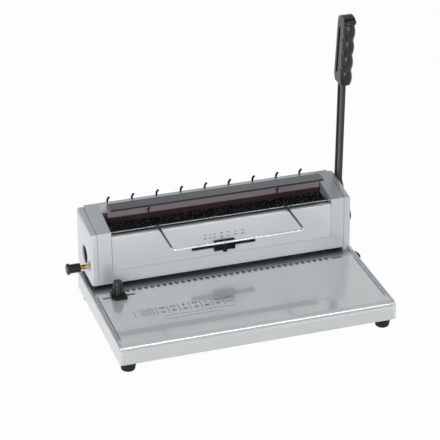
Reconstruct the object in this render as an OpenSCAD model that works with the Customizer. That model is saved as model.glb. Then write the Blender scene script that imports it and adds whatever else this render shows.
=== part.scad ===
// Desk machine that punches a row of holes in paper and closes wire binding loops.
// Millimetres. X runs to the right, Y runs to the back and Z is up from the table.
// Sizes are worked out from the middle of the base's front edge; place() then moves
// every piece so that the origin is under the middle of the whole machine.

/* [Base] */
// Width of the base over both side plates
base_w = 416; // [404:1:428]
// Depth of the base from the front roll to the back wall
base_d = 231; // [226:1:238]
// Height of the base from its underside to the deck
base_h = 27; // [25:1:32]
// Thickness of the deck sheet
deck_t = 2; // [1.5:0.1:2.4]
// Radius of the roll along the front of the deck
roll_r = 12; // [8:1:16]
// Thickness of each side plate
rim_t = 5; // [4:0.5:6]
// Thickness of the bottom plate
bottom_t = 1.5; // [1:0.1:2]
// Height of the rubber feet under the base
foot_h = 15; // [10:1:20]
// Diameter of a rubber foot at its top
foot_dia = 25; // [18:1:28]

/* [Housing] */
// Depth of the housing's foot, from its lower front edge to the base's back wall
housing_d = 63; // [61:1:65]
// How far the housing's back stands out behind the base
overhang = 17; // [14:1:20]
// Height of the paper throat between deck and housing
throat_h = 7.5; // [6:0.5:8]
// Height of the housing's front corner above the base's underside
cheek_front_h = 116; // [115:1:118]
// Height of the housing's top edge at the back above the base's underside
cheek_back_h = 127; // [125:1:129]
// Height of the upper jaw's flange above the base's underside
flange_h = 136; // [135:1:138]
// How far the front face leans back over its height
front_lean = 5; // [4:0.5:6]
// How far each end cover stands in from the base's side
cover_inset = 5; // [4:0.5:6]
// Width of an end cover
cover_w = 11; // [10:0.5:12]
// Width of a cheek beside the closing recess
cheek_w = 21; // [20:0.5:22]
// Thickness of the moulded shells
shell_t = 2.2; // [1.8:0.1:2.6]

/* [Wire row] */
// Space between the recess's side and the first or last pin
row_margin = 15; // [14.5:0.5:24]
// Distance from one punched hole to the next
hole_pitch = 9.44; // [8.4:0.01:9.6]
// Side of a square punch pin
pin_size = 4; // [3:0.1:4.5]
// Distance of the pin row's middle from the base's middle
row_mid = 2.4; // [0:0.1:4]
// Holes between one wire hook and the next
hook_step = 4; // [3:1:4]
// Height of the hook tips above the table
hook_top = 155; // [152:1:158]

/* [Lever] */
// Height of the lever grip's top above the table
lever_top = 401; // [380:1:420]
// Length of the grip
grip_len = 108; // [100:1:112]
// Angle at which the grip leans forward
grip_lean = 4.5; // [3:0.5:6]
// Thickness of the lever arm
arm_t = 5.5; // [4:0.5:6]
// Width of the lever arm
arm_w = 19; // [16:1:22]
// Thickness of the grip across the machine
grip_t = 20.5; // [18:0.5:22]
// Distance from the end cover to the hub's outer face
hub_len = 11; // [10.5:0.5:14]
// Radius of the lever hub
hub_r = 10.5; // [10:0.5:11]

/* [Drive] */
// Diameter of the drive shaft
shaft_dia = 12; // [10:0.5:12]
// Teeth on a punching pinion
punch_teeth = 16; // [16:1:16]
// Teeth on a closing pinion
closing_teeth = 20; // [20:1:20]
// Tooth module, the pitch diameter for each tooth
tooth_module = 1; // [0.98:0.01:1.02]
// Angle that the lever turns through
lever_angle = 92; // [80:1:92]
// Gap around pieces that slide or turn
run_gap = 0.05; // [0.02:0.01:0.08]
// Gap around pieces that are set into others
set_gap = 0.3; // [0.2:0.05:0.4]

/* [Controls] */
// Length of the ribbed depth knob
knob_len = 21; // [18:1:26]
// Diameter of the depth knob's body
knob_dia = 14.5; // [12:0.5:16]
// Length of the brass collar between cover and knob
collar_len = 7; // [5:1:9]
// Travel of the back gauge
gauge_travel = 4; // [2:0.5:5]
// Length of the slot for the size slider
slider_slot = 100; // [90:1:110]
// Width of the size slider's block
slider_w = 32; // [28:1:34]
// Length of the slot for the edge guide
guide_slot = 45; // [42:1:48]
// Diameter of the edge guide's knob
guide_knob_dia = 17; // [14:1:20]
// Reach of the wire paper support in front of its rod
bail_reach = 81; // [70:1:90]
// Width of the wire paper support between its legs
bail_w = 200; // [180:1:210]
// Diameter of the paper support's wire
bail_dia = 3.4; // [2.6:0.1:4]
// Space between the chip tray and the left side plate
tray_short = 39; // [34:1:44]
// How far the tray pull stands out of the side plate
pull_out = 10; // [8:1:11]

/* [Hidden] */
$fn = 48;

// Levels of the base
under_z = foot_h;
deck_z = foot_h + base_h;
deck_low = deck_z - deck_t;
floor_z = under_z + bottom_t;
side_x = base_w / 2;
plate_x = side_x - rim_t;

// Lines of the housing
housing_low = deck_z + throat_h;
cheek_z = under_z + cheek_front_h;
back_z = under_z + cheek_back_h;
front_y = base_d - housing_d;
cheek_y = front_y + front_lean;
back_y = base_d + overhang;
inner_back = back_y - shell_t;
// Slopes of the shell's top and of the end covers, which are a little lower behind
shell_slope = atan2(back_z - cheek_z, back_y - cheek_y);
cover_slope = atan2(back_z - cheek_z - 2.5, back_y - cheek_y);
end_x = base_w / 2 - cover_inset;
shell_x = end_x - cover_w;
recess_x = shell_x - cheek_w;
panel_top = cheek_z - 7.5;
panel_low = housing_low + 20;
panel_depth = 10;
panel_corner = 4;
panel_lip = 7;
panel_gap = 0.8;
seam = 0.4;
jaw_floor = panel_top - 2.5;

// Row of pins
row_y = front_y + 14;
hole_count = floor(2 * (recess_x - row_margin) / hole_pitch) + 1;
row_len = (hole_count - 1) * hole_pitch;
row_x0 = row_mid - row_len / 2;
bar_x0 = row_x0 - 9;
bar_x1 = row_x0 + row_len + 9;

// Drive: one shaft turns the punching pinions in front and the closing pinions behind
shaft_y = front_y + 36;
shaft_z = under_z + 70;
shaft_r = shaft_dia / 2;
pressure = 20;
addendum = 0.85 * tooth_module;
dedendum = 1.25 * tooth_module;
backlash = 0.3;
punch_r = punch_teeth * tooth_module / 2;
closing_r = closing_teeth * tooth_module / 2;
punch_travel = punch_r * lever_angle * PI / 180;
closing_travel = closing_r * lever_angle * PI / 180;
punch_pinion_x = recess_x - 43;
closing_pinion_x = recess_x - 21;
pinion_w = 9;
rack_w = pinion_w - 2;

// Frames stand inside the cheeks
frame_t = 3;
frame_x = recess_x + 3;
bush_r = shaft_r + 2.5;

// Punch assembly
guide_z0 = housing_low;
guide_t = 5;
bar_z0 = shaft_z - 2 * punch_r;
bar_h = 11;
bar_y0 = row_y - 6;
bar_y1 = row_y + 6;
tongue_z = 8;
die_t = 4;
spring_r = 4;
spring_x = frame_x - 7;

// Closing assembly
jaw_front = cheek_y + 19;
jaw_back = shaft_y + closing_r + 5.2;
jaw_t = 5;
carrier_t = 4;
carrier_z = jaw_floor - jaw_t - carrier_t;
upper_y = jaw_back + 2.1;
upper_t = 2.8;
flange_y = upper_y - 18;
flange_z = under_z + flange_h;
jaw_x0 = -recess_x + 8;
jaw_x1 = recess_x - 1;
tab_x = 16;

// Hinge rod of the paper support
bail_r = bail_dia / 2;
pivot_y = jaw_front - 5.7;
pivot_z = panel_top - 0.3;
pivot_r = 1.75;
leg_z = panel_top + 0.3 + bail_r;
leg_y = pivot_y - pivot_r - 1;
sleeve_r = 2.9;
bail_bend = 6;

// Size slider on the leaning front face
slider_z = shaft_z;
slider_mid = 0.7;
slot_h = 8;

// Depth control
depth_y = shaft_y + 3;
depth_z = shaft_z - 23;
depth_r = 2.2;
collar_r = 3.6;
cam_out = 14;
cam_in = cam_out - gauge_travel;
gauge_y = row_y + 7.3;
gauge_t = 1.2;
gauge_len = 2 * (recess_x - 17);
cam_x = [-gauge_len / 2 + 56, 0, gauge_len / 2 - 56];
cam_t = 12;

// Edge guide
guide_x = -recess_x;
guide_y = front_y - 26;
guide_w = 22;
guide_h = 8;
guide_stem_r = 2;
guide_slot_r = guide_stem_r + 0.4;
guide_slot_x0 = guide_x - guide_slot / 2 + 1.5;

// Chip tray
tray_y0 = row_y - 34;
tray_y1 = row_y + 22;
tray_z0 = floor_z + run_gap;
tray_h = 17;
tray_x1 = side_x;
tray_x0 = -plate_x + tray_short;
pull_y = front_y - 2;
pull_w = 36;

// Lever
overall_d = back_y + 2;
arm_x = end_x + 2.5;
knee_y = overall_d - arm_w / 2 - 1.5;
knee_z = shaft_z + 44;
eye_r = 11.5;
boss_r = 9;
cap_hole_r = 14;
grip_z0 = lever_top - grip_len;
grip_y1 = overall_d;
grip_mid_x = arm_x + arm_t / 2;
hub_x1 = end_x + hub_len;

// Wire hooks
hook_pitch = hook_step * hole_pitch;
hook_count = floor((hole_count - 1) / hook_step) + 1;
hook_y = back_y - 11;
hook_t = 3;

// Whole machine
knob_tip = end_x + collar_len + knob_len;
mid_x = (max(hub_x1, grip_mid_x + grip_t / 2) - knob_tip) / 2;
mid_y = overall_d / 2;

silver = "#c3c7ca";
pale = "#b4babb";
steel = "#9aa0a4";
dark = "#2c2e30";
chrome = "#dfe3e6";
brass = "#bf7d16";
smoke = "#5a4248";

module place() { translate([-mid_x, -mid_y, 0]) children(); }

// Extrudes an outline drawn in Y and Z from x0 to x1
module along_x(x0, x1) {
    translate([x0, 0, 0])
        rotate([90, 0, 90])
            linear_extrude(x1 - x0)
                children();
}

// Extrudes an outline drawn in X and Z from y0 to y1
module along_y(y0, y1) {
    translate([0, y1, 0])
        rotate([90, 0, 0])
            linear_extrude(y1 - y0)
                children();
}

module rod_x(x0, x1, y, z, r) {
    translate([x0, y, z])
        rotate([0, 90, 0])
            cylinder(h = x1 - x0, r = r);
}

module rod_y(x, y0, y1, z, r) {
    translate([x, y1, z])
        rotate([90, 0, 0])
            cylinder(h = y1 - y0, r = r);
}

module rod_z(x, y, z0, z1, r) {
    translate([x, y, z0])
        cylinder(h = z1 - z0, r = r);
}

module block(x0, x1, y0, y1, z0, z1) {
    translate([x0, y0, z0])
        cube([x1 - x0, y1 - y0, z1 - z0]);
}

// Outline of the base seen from the side, drawn in by a wall
module base_outline(wall) {
    r = roll_r - wall;
    translate([wall, under_z - 1])
        square([base_d - 2 * wall, deck_z - wall - r - under_z + 1]);
    translate([roll_r, under_z - 1])
        square([base_d - roll_r - wall, deck_z - wall - under_z + 1]);
    translate([roll_r, deck_z - roll_r])
        circle(r = r);
}

// Keeps what lies above the base's underside
module above_under() {
    intersection() {
        children();
        translate([-1, under_z])
            square([base_d + 2, base_h + 1]);
    }
}

// Places of the four feet
foot_in_x = side_x - 15;
foot_in_y = 14;
module at_feet() {
    for (x = [-foot_in_x, foot_in_x], y = [foot_in_y, base_d - foot_in_y])
        translate([x, y, 0])
            children();
}

module base_deck() {
    color(pale) place() difference() {
        along_x(-plate_x, plate_x) above_under() difference() {
            base_outline(0);
            base_outline(deck_t);
        }
        block(bar_x0, bar_x1, bar_y0, bar_y1, deck_low - 1, deck_z + 1);
        block(guide_slot_x0, guide_slot_x0 + guide_slot,
              guide_y - guide_slot_r, guide_y + guide_slot_r, deck_low - 1, deck_z + 1);
        for (x = [guide_slot_x0, guide_slot_x0 + guide_slot])
            rod_z(x, guide_y, deck_low - 1, deck_z + 1, guide_slot_r);
        for (x = [-1, 1], y = frame_foot_y)
            rod_z(x * frame_foot_x, y, deck_low - 1, deck_z + 1, 2.1);
        // Channels along the side plates
        for (side = [-1, 1], y = [[roll_r + 7, front_y], [front_y + 7, base_d - 5]])
            scale([side, 1, 1])
                block(plate_x - 4, plate_x + 1, y[0], y[1], deck_z - deck_t / 2, deck_z + 1);
    }
}

module base_side(side) {
    x0 = side < 0 ? -side_x : plate_x;
    along_x(x0, x0 + rim_t) above_under() base_outline(0);
}

module base_side_left() {
    color(silver) place() base_side(-1);
}

module base_side_right() {
    color(silver) place() difference() {
        base_side(1);
        block(plate_x - 1, side_x + 1, tray_y0 - 0.6, tray_y1 + 0.6, floor_z, tray_z0 + tray_h + 0.6);
    }
}

module base_bottom() {
    color(steel) place() difference() {
        block(-plate_x, plate_x, deck_t, base_d - deck_t, under_z, floor_z);
        at_feet() rod_z(0, 0, under_z - 1, floor_z + 1, 2.1);
    }
}

module rubber_feet() {
    color(dark) place() at_feet() difference() {
        rotate_extrude()
            polygon([
                [0, 0], [foot_dia / 2 - 3.2, 0], [foot_dia / 2 - 2.4, 0.8],
                [foot_dia / 2, foot_h - 1], [foot_dia / 2, foot_h], [0, foot_h]
            ]);
        translate([0, 0, -1])
            cylinder(h = foot_h - 3, r = 4.5);
        cylinder(h = foot_h + 1, r = 2.1);
    }
}

module foot_screws() {
    color(steel) place() at_feet() {
        translate([0, 0, foot_h - 4 - 2.6])
            cylinder(h = 2.6, r = 3.6);
        translate([0, 0, foot_h - 4])
            cylinder(h = 4 + bottom_t, r = 2);
        translate([0, 0, floor_z])
            cylinder(h = 3, r = 3.5, $fn = 6);
    }
}

// Angle runners on the bottom plate, which guide the tray
module tray_runners() {
    color(steel) place() for (y = [tray_y0 - 1.8, tray_y1 + 0.3])
        block(tray_x0 - 4, plate_x, y, y + 1.5, floor_z, floor_z + 11);
}

module chip_tray() {
    wall = 1.5;
    color(dark) place() difference() {
        block(tray_x0, tray_x1, tray_y0, tray_y1, tray_z0, tray_z0 + tray_h);
        block(tray_x0 + wall, tray_x1 - 4, tray_y0 + wall, tray_y1 - wall,
              tray_z0 + wall, tray_z0 + tray_h + 1);
    }
}

// Half-round pull on the tray's outer end
module tray_pull() {
    chord = pull_w / 2;
    r = (chord * chord + pull_out * pull_out) / (2 * pull_out);
    rim_x = side_x + pull_out - r;
    color(dark) place() intersection() {
        union() {
            rod_z(rim_x, pull_y, tray_z0 + 1, tray_z0 + tray_h - 5, r - 1);
            rod_z(rim_x, pull_y, tray_z0 + 1, tray_z0 + 4, r);
            rod_z(rim_x, pull_y, tray_z0 + tray_h - 6, tray_z0 + tray_h, r);
        }
        block(side_x, side_x + pull_out + 1, tray_y0, tray_y1, tray_z0, deck_z);
    }
}

// Side frames, which carry the drive, the guides and the upper jaw
frame_y0 = front_y + 7;
frame_y1 = upper_y + upper_t + 3.2;
frame_foot_x = frame_x + 9;
frame_foot_y = [frame_y0 + 32, frame_y1 - 8];
frame_top = carrier_z - 1;
jaw_screw_x = recess_x - tab_x + 5;
tab_z = top_at(upper_y, shell_t, shell_slope) - 1;
tab_h = 17;
jaw_screw_z = tab_z - 7;

module frame_plate() {
    difference() {
        union() {
            along_x(frame_x, frame_x + frame_t) difference() {
                union() {
                    translate([frame_y0, deck_z])
                        square([frame_y1 - frame_y0, frame_top - deck_z]);
                    translate([upper_y + upper_t, frame_top - 1])
                        square([frame_y1 - upper_y - upper_t, tab_z - frame_top + 1]);
                }
                // Slot for the punch bar's tongue
                translate([bar_y0 - run_gap, bar_z0 - punch_travel - 0.6])
                    square([bar_y1 - bar_y0 + 2 * run_gap, punch_travel + tongue_z + 1.2]);
                // Paper throat
                translate([frame_y0 - 1, deck_z - 1])
                    square([gauge_y + gauge_t + gauge_travel + 1 - frame_y0, throat_h + 1 - set_gap]);
            }
            block(frame_x, frame_x + 16, frame_y0 + 25, frame_y1, deck_z, deck_z + 2);
            block(recess_x - tab_x, frame_x + frame_t, upper_y + upper_t, frame_y1,
                  tab_z - tab_h, tab_z);
        }
        rod_x(frame_x - 1, frame_x + frame_t + 1, shaft_y, shaft_z, bush_r);
        rod_x(frame_x - 1, frame_x + frame_t + 1, depth_y, depth_z, depth_r + run_gap);
        for (y = frame_foot_y)
            rod_z(frame_foot_x, y, deck_z - 1, deck_z + 3, 2.1);
        rod_y(jaw_screw_x, upper_y, frame_y1 + 1, jaw_screw_z, 2.1);
    }
}
module side_frame_left() {
    color(steel) place() mirror([1, 0, 0]) frame_plate();
}

module side_frame_right() {
    color(steel) place() frame_plate();
}

module frame_screws() {
    color(steel) place() for (x = [-frame_foot_x, frame_foot_x], y = frame_foot_y) {
        rod_z(x, y, deck_low - 3, deck_z + 2, 2);
        rod_z(x, y, deck_z + 2, deck_z + 4.5, 3.5);
        translate([x, y, deck_low - 3])
            cylinder(h = 3, r = 3.6, $fn = 6);
    }
}

// Rods that hold the two frames apart
module tie_rod() {
    color(steel) place() {
        rod_x(-frame_x, frame_x, bar_y0 + 5, shaft_z + 14, 4);
        rod_x(-frame_x, frame_x, frame_y1 - 5, deck_z + 9, 4);
    }
}

module shaft_bushes() {
    color(brass) place() for (side = [-1, 1])
        scale([side, 1, 1]) difference() {
            union() {
                rod_x(frame_x - 1.5, frame_x + frame_t + 3, shaft_y, shaft_z, bush_r - 0.01);
                rod_x(frame_x - 1.5, frame_x, shaft_y, shaft_z, bush_r + 1.5);
            }
            rod_x(frame_x - 3, frame_x + frame_t + 4, shaft_y, shaft_z, shaft_r + run_gap);
        }
}

// Level of the housing's sloping top
function top_at(y, wall, slope) = cheek_z + (y - cheek_y) * tan(slope) - wall / cos(slope);

// The housing's outline seen from the side, drawn in by a wall, from the level low upwards
module cheek_outline(wall, rear, low, slope) {
    polygon([
        [front_y + wall, low],
        [cheek_y + wall, top_at(cheek_y + wall, wall, slope)],
        [rear, top_at(rear, wall, slope)],
        [rear, low]
    ]);
}

// Place of the leaning front face at a level
function front_at(z) = front_y + front_lean * (z - housing_low) / (cheek_z - housing_low);

module housing_spacers() {
    color(silver) place() for (side = [-1, 1])
        scale([side, 1, 1])
            block(shell_x + 0.5, shell_x + 6.5, front_y + 2, base_d - 2, deck_z, housing_low);
}

module cheek() {
    behind = upper_y - 2;
    difference() {
        hull() {
            along_x(recess_x, shell_x - seam)
                cheek_outline(0, inner_back, housing_low, shell_slope);
            along_x(recess_x, shell_x)
                cheek_outline(seam, inner_back, housing_low + seam, shell_slope);
        }
        along_x(recess_x + shell_t, shell_x + 1)
            cheek_outline(shell_t, inner_back + 1, housing_low - 1, shell_slope);
        block(recess_x - 1, recess_x + shell_t + 1, bar_y0 - 1, back_y + 1,
              housing_low - 1, carrier_z - 3);
        along_x(recess_x - 1, recess_x + shell_t + 1) polygon([
            [behind, housing_low - 1], [behind, top_at(behind, shell_t, shell_slope)],
            [back_y + 1, top_at(back_y + 1, shell_t, shell_slope)], [back_y + 1, housing_low - 1]
        ]);
    }
}

module housing_shell() {
    ledge = 5;
    color(silver) place() {
        cheek();
        mirror([1, 0, 0]) cheek();
        along_x(-recess_x, recess_x) polygon([
            [front_y, housing_low],
            [front_at(panel_low), panel_low],
            [front_at(panel_low) + shell_t + run_gap, panel_low],
            [front_at(panel_low + ledge) + shell_t + run_gap, panel_low + ledge],
            [front_at(panel_low + ledge) + 2 * shell_t, panel_low + ledge],
            [front_at(panel_low) + 2 * shell_t, panel_low - ledge],
            [front_y + shell_t, housing_low]
        ]);
    }
}

module front_panel() {
    z_low = panel_low + panel_gap;
    z_mid = panel_top - panel_corner;
    y_top = front_at(z_mid);
    y_low = front_at(z_low);
    r_in = panel_corner - shell_t;
    y_mid = y_top + panel_corner;
    y_end = y_top + panel_depth;
    color(silver) place() difference() {
        along_x(-recess_x + panel_gap, recess_x - panel_gap) polygon(concat(
            [[y_low, z_low]],
            [for (a = [180:-15:90]) [y_mid + panel_corner * cos(a), z_mid + panel_corner * sin(a)]],
            [[y_end, panel_top], [y_end, panel_top - panel_lip]],
            [[y_end - shell_t, panel_top - panel_lip], [y_end - shell_t, panel_top - shell_t]],
            [for (a = [90:15:180]) [y_mid + r_in * cos(a), z_mid + r_in * sin(a)]],
            [[y_low + shell_t, z_low]]
        ));
        block(slider_mid - slider_slot / 2, slider_mid + slider_slot / 2,
              front_y - 1, cheek_y + shell_t + 1, slider_z - slot_h / 2, slider_z + slot_h / 2);
    }
}

// Hollow end cover with a rounded outer edge
module end_cover() {
    wall = 2.5;
    edge = 4;
    difference() {
        hull() {
            along_x(shell_x, shell_x + seam)
                cheek_outline(seam, back_y - seam, housing_low + seam, cover_slope);
            for (k = [0:3]) {
                w = edge * (1 - cos(30 * k));
                x = end_x - edge + edge * sin(30 * k);
                along_x(shell_x + seam, x)
                    cheek_outline(w, back_y - w, housing_low + w, cover_slope);
            }
        }
        along_x(shell_x - 1, end_x - wall)
            cheek_outline(wall + 1, back_y - wall - 1, housing_low + wall + 1, cover_slope);
    }
}

// The left cover has a deep-rimmed hole in front of the shaft's end
module end_cover_left() {
    rim = 5.5;
    color(silver) place() difference() {
        union() {
            mirror([1, 0, 0]) end_cover();
            rod_x(-end_x + 1, -end_x + rim, shaft_y, shaft_z, cap_hole_r + 1.5);
        }
        rod_x(-end_x - 1, -shell_x, shaft_y, shaft_z, cap_hole_r);
        rod_x(-end_x - 1, -shell_x, depth_y, depth_z, depth_r + 0.6);
    }
}

module end_cover_right() {
    color(silver) place() difference() {
        end_cover();
        rod_x(shell_x, end_x + 1, shaft_y, shaft_z, shaft_r + 1);
    }
}

// Folded cover: a foot on the deck, a floor over the overhang, the back wall and the top
module rear_cover() {
    foot_y = base_d - 3;
    top_y = upper_y + upper_t + 0.3;
    color(silver) place() difference() {
        union() {
            along_x(-shell_x, shell_x) polygon([
                [foot_y, deck_z], [foot_y + shell_t, deck_z], [foot_y + shell_t, housing_low],
                [back_y, housing_low], [back_y, back_z],
                [inner_back, top_at(inner_back, 0, shell_slope)],
                [inner_back, housing_low + shell_t], [foot_y, housing_low + shell_t]
            ]);
            along_x(-recess_x, recess_x) polygon([
                [top_y, top_at(top_y, shell_t, shell_slope)], [top_y, top_at(top_y, 0, shell_slope)],
                [back_y, back_z], [back_y, top_at(back_y, shell_t, shell_slope)]
            ]);
        }
        for (side = [-1, 1], z = cover_screw_z)
            rod_y(side * cover_screw_x, inner_back - 1, back_y + 1, z, 1.6);
    }
}

cover_screw_x = frame_x + frame_t + 7;
cover_screw_z = [housing_low + 14, back_z - 22];
module cover_screws() {
    color(steel) place() for (side = [-1, 1], z = cover_screw_z) {
        rod_y(side * cover_screw_x, inner_back - 4, back_y, z, 1.5);
        rod_y(side * cover_screw_x, back_y, back_y + 1.8, z, 3);
    }
}

// Angle-shaped upper jaw: the wire is closed against its front edge
jaw_low = min(jaw_floor - 3, jaw_screw_z - 5);
module upper_jaw() {
    color(dark) place() difference() {
        union() {
            block(jaw_x0, jaw_x1, upper_y, upper_y + upper_t, jaw_low, flange_z);
            block(jaw_x0, jaw_x1, flange_y, upper_y + upper_t, flange_z - upper_t, flange_z);
        }
        for (side = [-1, 1])
            rod_y(side * jaw_screw_x, upper_y - 1, frame_y1, jaw_screw_z, 2.1);
    }
}

module smoked_panel() {
    color(smoke, 0.8) place()
        block(jaw_x0, jaw_x1, upper_y - 1.6, upper_y, jaw_low, flange_z - upper_t);
}

module jaw_screws() {
    color(steel) place() for (side = [-1, 1]) {
        rod_y(side * jaw_screw_x, upper_y, frame_y1, jaw_screw_z, 2);
        rod_y(side * jaw_screw_x, frame_y1, frame_y1 + 3, jaw_screw_z, 3.4);
    }
}

// Strip with a level top on the sloping rear cover, which carries the hooks
rail_y0 = hook_y - 5;
rail_y1 = hook_y + hook_t + 3;
rail_z = max(top_at(rail_y0, 0, shell_slope), top_at(rail_y1, 0, shell_slope)) + 1.5;
module wire_hook_rail() {
    color(silver) place() along_x(-recess_x + 1, recess_x - 1) polygon([
        [rail_y0, top_at(rail_y0, 0, shell_slope)], [rail_y1, top_at(rail_y1, 0, shell_slope)],
        [rail_y1, rail_z], [rail_y0, rail_z]
    ]);
}

module wire_hooks() {
    r_out = 8;
    r_in = 7.9;
    stem = 4.4;
    narrow = 0.5;
    aside = -2;
    mid_z = hook_top - r_out;
    color(dark) place() for (k = [0:hook_count - 1])
        translate([row_x0 + k * hook_pitch, 0, 0])
            along_y(hook_y, hook_y + hook_t) translate([aside, 0]) scale([narrow, 1]) {
                translate([-r_out, rail_z])
                    square([stem, mid_z - rail_z + 0.01]);
                intersection() {
                    translate([0, mid_z]) difference() {
                        circle(r = r_out);
                        translate([stem + r_in - r_out, -0.4]) circle(r = r_in);
                    }
                    translate([-r_out, mid_z - 0.01]) square([1.5 * r_out, r_out]);
                }
            }
}

// Half of a tooth's angle at a radius, for an involute gear
function involute(a) = tan(a) * 180 / PI - a;
function half_tooth(teeth, r) =
    let (pitch_r = teeth * tooth_module / 2, base_r = pitch_r * cos(pressure))
    (90 / teeth) - (backlash / 4) / pitch_r * 180 / PI
        + involute(pressure) - involute(acos(min(1, base_r / r)));

module gear_outline(teeth) {
    pitch_r = teeth * tooth_module / 2;
    base_r = pitch_r * cos(pressure);
    root_r = pitch_r - dedendum;
    tip_r = pitch_r + addendum;
    steps = [for (k = [0:4]) base_r + (tip_r - base_r) * k / 4];
    foot = half_tooth(teeth, base_r);
    polygon([for (n = [0:teeth - 1]) let (mid = n * 360 / teeth) each concat(
        [root_r * [cos(mid - foot), sin(mid - foot)]],
        [for (r = steps) let (a = mid - half_tooth(teeth, r)) r * [cos(a), sin(a)]],
        [for (k = [4:-1:0]) let (a = mid + half_tooth(teeth, steps[k])) steps[k] * [cos(a), sin(a)]],
        [root_r * [cos(mid + foot), sin(mid + foot)]]
    )]);
}

module pinion(x, teeth) {
    difference() {
        union() {
            translate([0, shaft_y, shaft_z])
                along_x(x - pinion_w / 2, x + pinion_w / 2) gear_outline(teeth);
            rod_x(x + pinion_w / 2, x + pinion_w / 2 + 4, shaft_y, shaft_z, shaft_r + 1.2);
        }
        rod_x(x - pinion_w, x + pinion_w, shaft_y, shaft_z, shaft_r + 0.01);
    }
}

// Straight rack whose pitch line is at 0, with its teeth towards +Y and a gap at level 0
module rack_outline(z0, z1, body) {
    step = PI * tooth_module;
    half_pitch = step / 4 - backlash / 4;
    lean = tan(pressure);
    first = ceil((z0 + step) / step);
    last = floor((z1 - step) / step);
    polygon(concat(
        [[-body, z0], [-dedendum, z0]],
        [for (n = [first:last]) let (z = (n - 0.5) * step) each [
            [-dedendum, z - half_pitch - dedendum * lean],
            [addendum, z - half_pitch + addendum * lean],
            [addendum, z + half_pitch - addendum * lean],
            [-dedendum, z + half_pitch + dedendum * lean]
        ]],
        [[-dedendum, z1], [-body, z1]]
    ));
}

module drive_shaft() {
    color(steel) place() rod_x(-end_x + 8.5, arm_x + arm_t - 0.5, shaft_y, shaft_z, shaft_r);
}

// Round cap on the shaft's left end, seen through the cover's hole
module shaft_cap() {
    color(dark) place() difference() {
        rod_x(-end_x + 6.2, -end_x + 11, shaft_y, shaft_z, cap_hole_r - 1.5);
        rod_x(-end_x + 8.5, -end_x + 12, shaft_y, shaft_z, shaft_r + 0.01);
    }
}

module punch_pinions() {
    color(steel) place() for (x = [-punch_pinion_x, punch_pinion_x])
        pinion(x, punch_teeth);
}

module closing_pinions() {
    color(steel) place() for (x = [-closing_pinion_x, closing_pinion_x])
        pinion(x, closing_teeth);
}

module lever_hub() {
    color(dark) place() difference() {
        union() {
            rod_x(end_x + 0.5, arm_x, shaft_y, shaft_z, hub_r);
            rod_x(end_x + 0.5, arm_x + arm_t, shaft_y, shaft_z, boss_r);
        }
        rod_x(end_x, arm_x + arm_t + 1, shaft_y, shaft_z, shaft_r + 0.01);
    }
}

module hub_cap() {
    x0 = arm_x + arm_t;
    depth = hub_x1 - x0;
    color(dark) place() translate([x0, shaft_y, shaft_z]) rotate([0, 90, 0]) rotate_extrude()
        polygon([
            [0, 0], [hub_r, 0], [hub_r, depth - 2], [hub_r - 0.6, depth - 0.7],
            [hub_r - 2, depth], [0, depth]
        ]);
}

// Outline of the lever arm: an eye, a knee and an upright blade
module arm_outline() {
    half = arm_w / 2;
    run = [knee_y - shaft_y, knee_z - shaft_z];
    side = half * [run[1], -run[0]] / norm(run);
    translate([shaft_y, shaft_z]) circle(r = eye_r);
    translate([knee_y, knee_z]) circle(r = half);
    polygon([
        [shaft_y, shaft_z] + side, [knee_y, knee_z] + side,
        [knee_y, knee_z] - side, [shaft_y, shaft_z] - side
    ]);
    translate([knee_y - half, knee_z]) square([arm_w, grip_z0 - knee_z]);
    translate([tang_y - tang_w / 2, grip_z0 - 1]) square([tang_w, tang_h + 1]);
}

tang_w = 12;
tang_h = 40;
tang_y = knee_y - 2;
groove_w = 8;
groove_deep = 1.8;
module lever_arm() {
    groove_y = knee_y + 2.5;
    groove_z = [knee_z + 6, grip_z0 - 12];
    color(dark) place() difference() {
        along_x(arm_x, arm_x + arm_t) arm_outline();
        rod_x(arm_x - 1, arm_x + arm_t + 1, shaft_y, shaft_z, boss_r + 0.01);
        block(arm_x - 1, arm_x + groove_deep, groove_y - groove_w / 2, groove_y + groove_w / 2,
              groove_z[0], groove_z[1]);
        for (z = groove_z)
            rod_x(arm_x - 1, arm_x + groove_deep, groove_y, z, groove_w / 2);
    }
}

// Grip, which leans forward: a flat block behind a column of four finger lobes
lobe_r = grip_t / 2;
lobe_in = 2.2;
column_y = -13 - lobe_r;
grip_high = (grip_len + 14 * sin(grip_lean)) / cos(grip_lean);
lobe_pitch = (grip_high - 10) / 4;
function lobe(z) = lobe_r - 0.6 - lobe_in * (1 - abs(cos(180 * z / lobe_pitch - 90)));

module grip_block() {
    half = lobe_r - 1.6;
    difference() {
        along_x(-half, half) polygon([
            [column_y, -6], [-8, -6], [9 * tan(grip_lean), 9], [0, grip_high - 14], [-1, grip_high - 8],
            [-3.5, grip_high - 3.5], [-8, grip_high - 0.8], [-13, grip_high], [column_y, grip_high - 1]
        ]);
        block(-half - 1, -half + 2, -12, -5, 16, grip_high - 20);
    }
}

module lever_grip() {
    levels = [for (k = [0:32]) 4 * lobe_pitch * k / 32];
    color(dark) place() difference() {
        translate([grip_mid_x, grip_y1, grip_z0]) rotate([grip_lean, 0, 0]) {
            grip_block();
            translate([0, column_y, 0]) rotate_extrude() polygon(concat(
                [[0, -6], [lobe(0), -6]],
                [for (z = levels) [lobe(z), z]],
                [[lobe_r - 0.4, grip_high - 8], [lobe_r, grip_high - 6], [lobe_r - 0.6, grip_high - 4]],
                [[lobe_r - 2.5, grip_high - 3], [0, grip_high - 3]]
            ));
        }
        block(grip_mid_x - grip_t, grip_mid_x + grip_t, grip_y1 - 60, grip_y1 + 10,
              grip_z0 - 20, grip_z0);
        block(arm_x - 0.01, arm_x + arm_t + 0.01, tang_y - tang_w / 2 - 0.01, tang_y + tang_w / 2 + 0.01,
              grip_z0 - 1, grip_z0 + tang_h + 0.01);
    }
}

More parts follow.
